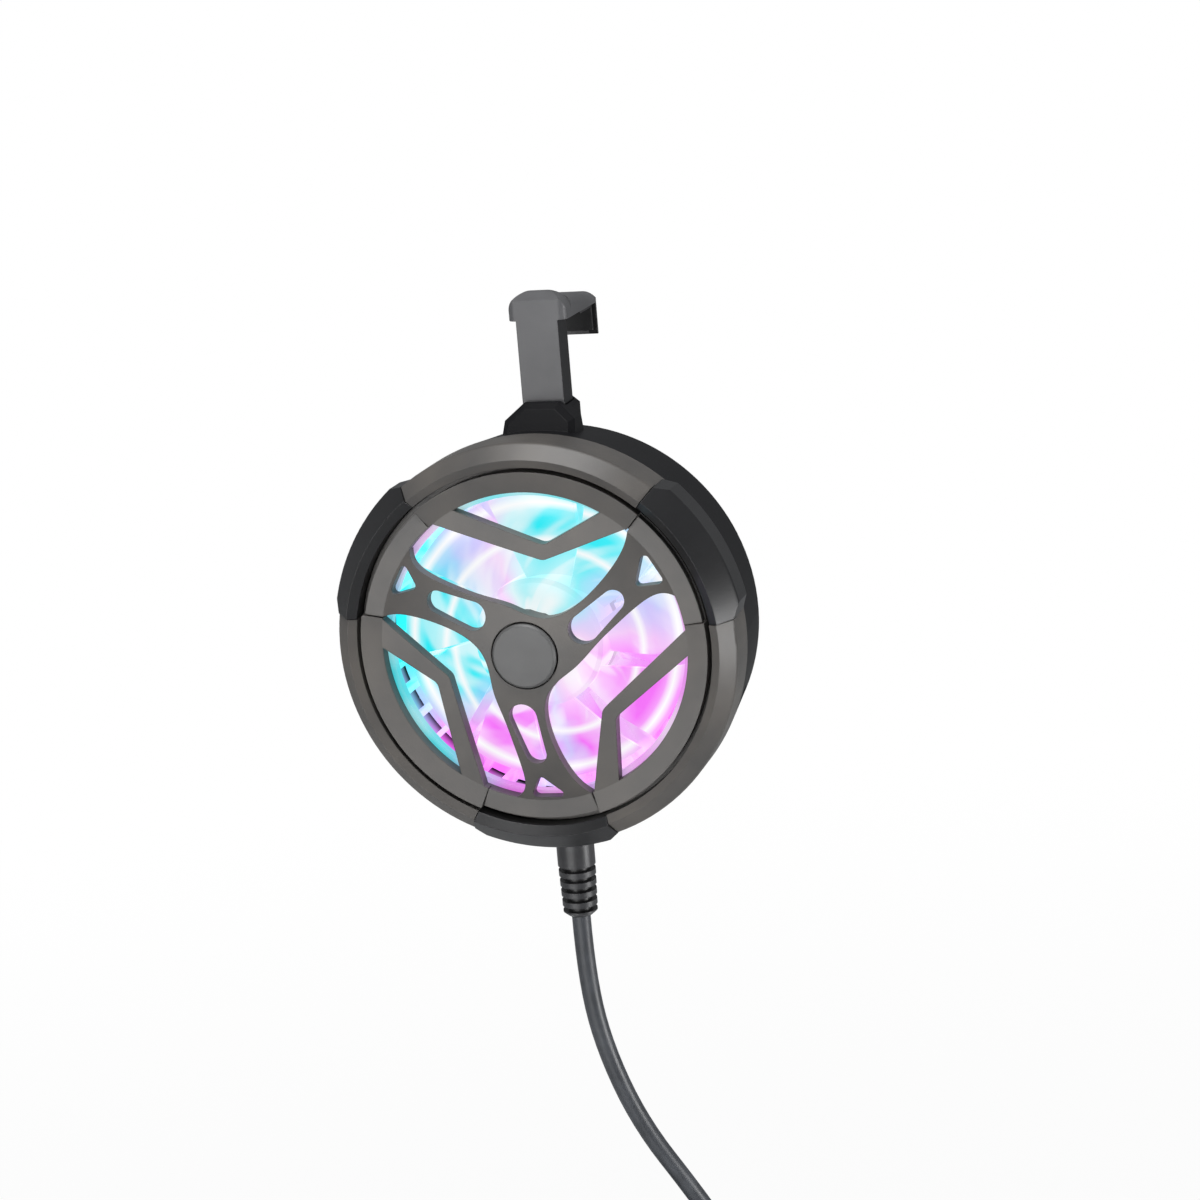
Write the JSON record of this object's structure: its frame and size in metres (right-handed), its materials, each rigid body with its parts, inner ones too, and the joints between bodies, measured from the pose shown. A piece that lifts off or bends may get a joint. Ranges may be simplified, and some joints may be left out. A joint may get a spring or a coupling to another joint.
{
  "type": "phone cooling fan",
  "caption": "Round clip-on cooler for a phone with a lit fan behind a spoked grille, a cold plate on the back, a sprung clamp and a USB power cord.",
  "frame": {"origin": "centre of the thermal pad's face, where it touches the phone's back, on the fan's axis", "axes": "+Y from the cooler into the phone, +Z from the fan's axis up the clamp arm, +X to the right when looking at the grille"},
  "size_m": [0.0591, 0.0374, 0.2381],
  "materials": {
    "housing_plastic": "fine matt texture",
    "grille_plastic": "smooth matt",
    "pad_rubber": "soft matt",
    "cord_rubber": "smooth satin",
    "thermal_silicone": "matt",
    "gasket_foam": "matt",
    "plate_aluminium": "fine brushed",
    "sink_aluminium": "as cast",
    "module_ceramic": "matt",
    "magnet_ceramic": "matt",
    "screw_steel": "darkened",
    "spring_steel": "drawn wire",
    "core_steel": "laminated",
    "bearing_bronze": "sintered",
    "winding_copper": "enamelled",
    "circuit_board": "solder mask",
    "board_parts": "moulded",
    "rotor_plastic": "clear milky, lit from the rim",
    "light_diffuser": "frosted",
    "light_emitters": "lit",
    "plug_plastic": "fine matt",
    "plug_steel": "nickel plated",
    "tongue_plastic": "moulded",
    "tie_plastic": "moulded"
  },
  "bodies": {
    "housing": {"thermal_pad": "thermal_silicone", "cold_plate": "plate_aluminium", "peltier_module": "module_ceramic", "insulation_gasket": "gasket_foam", "heat_sink": "sink_aluminium", "sink_screws": "screw_steel", "back_cover": "housing_plastic", "cover_screws": "screw_steel", "rear_shell": "housing_plastic", "front_bezel": "housing_plastic", "bezel_guard_right": "housing_plastic", "bezel_guard_left": "housing_plastic", "bezel_guard_bottom": "housing_plastic", "grille_ring": "grille_plastic", "grille_spider": "grille_plastic", "hub_cap": "grille_plastic", "motor_base": "board_parts", "bearing_bush": "bearing_bronze", "motor_board": "circuit_board", "stator_core": "core_steel", "stator_coils": "winding_copper", "light_board": "circuit_board", "light_chips": "light_emitters", "light_ring": "light_diffuser", "control_board": "circuit_board", "board_chips": "board_parts", "lower_jaw_pad": "pad_rubber", "arm_spring_left": "spring_steel", "arm_spring_right": "spring_steel", "strain_relief": "cord_rubber", "power_cord": "cord_rubber", "cord_coil": "cord_rubber", "cord_tail": "cord_rubber", "cable_tie": "tie_plastic", "plug_body": "plug_plastic", "plug_shell": "plug_steel", "plug_tongue": "tongue_plastic"},
    "fan": {"fan_rotor": "rotor_plastic", "rotor_magnet": "magnet_ceramic", "rotor_yoke": "core_steel", "rotor_shaft": "spring_steel"},
    "arm": {"clamp_arm": "housing_plastic", "upper_jaw_pad": "pad_rubber"}
  },
  "joints": [
    {"name": "fan_spin", "type": "hinge", "parent": "housing", "child": "fan", "pos_m": [0, 0, 0], "axis": [0, -1, 0], "continuous": true},
    {"name": "arm_slide", "type": "slide", "parent": "housing", "child": "arm", "axis": [0, 0, 1], "range_m": [-0.004, 0.009], "stiffness_N_per_m": 250, "springref_m": -0.016, "deforming": ["arm_spring_left", "arm_spring_right"]}
  ]
}
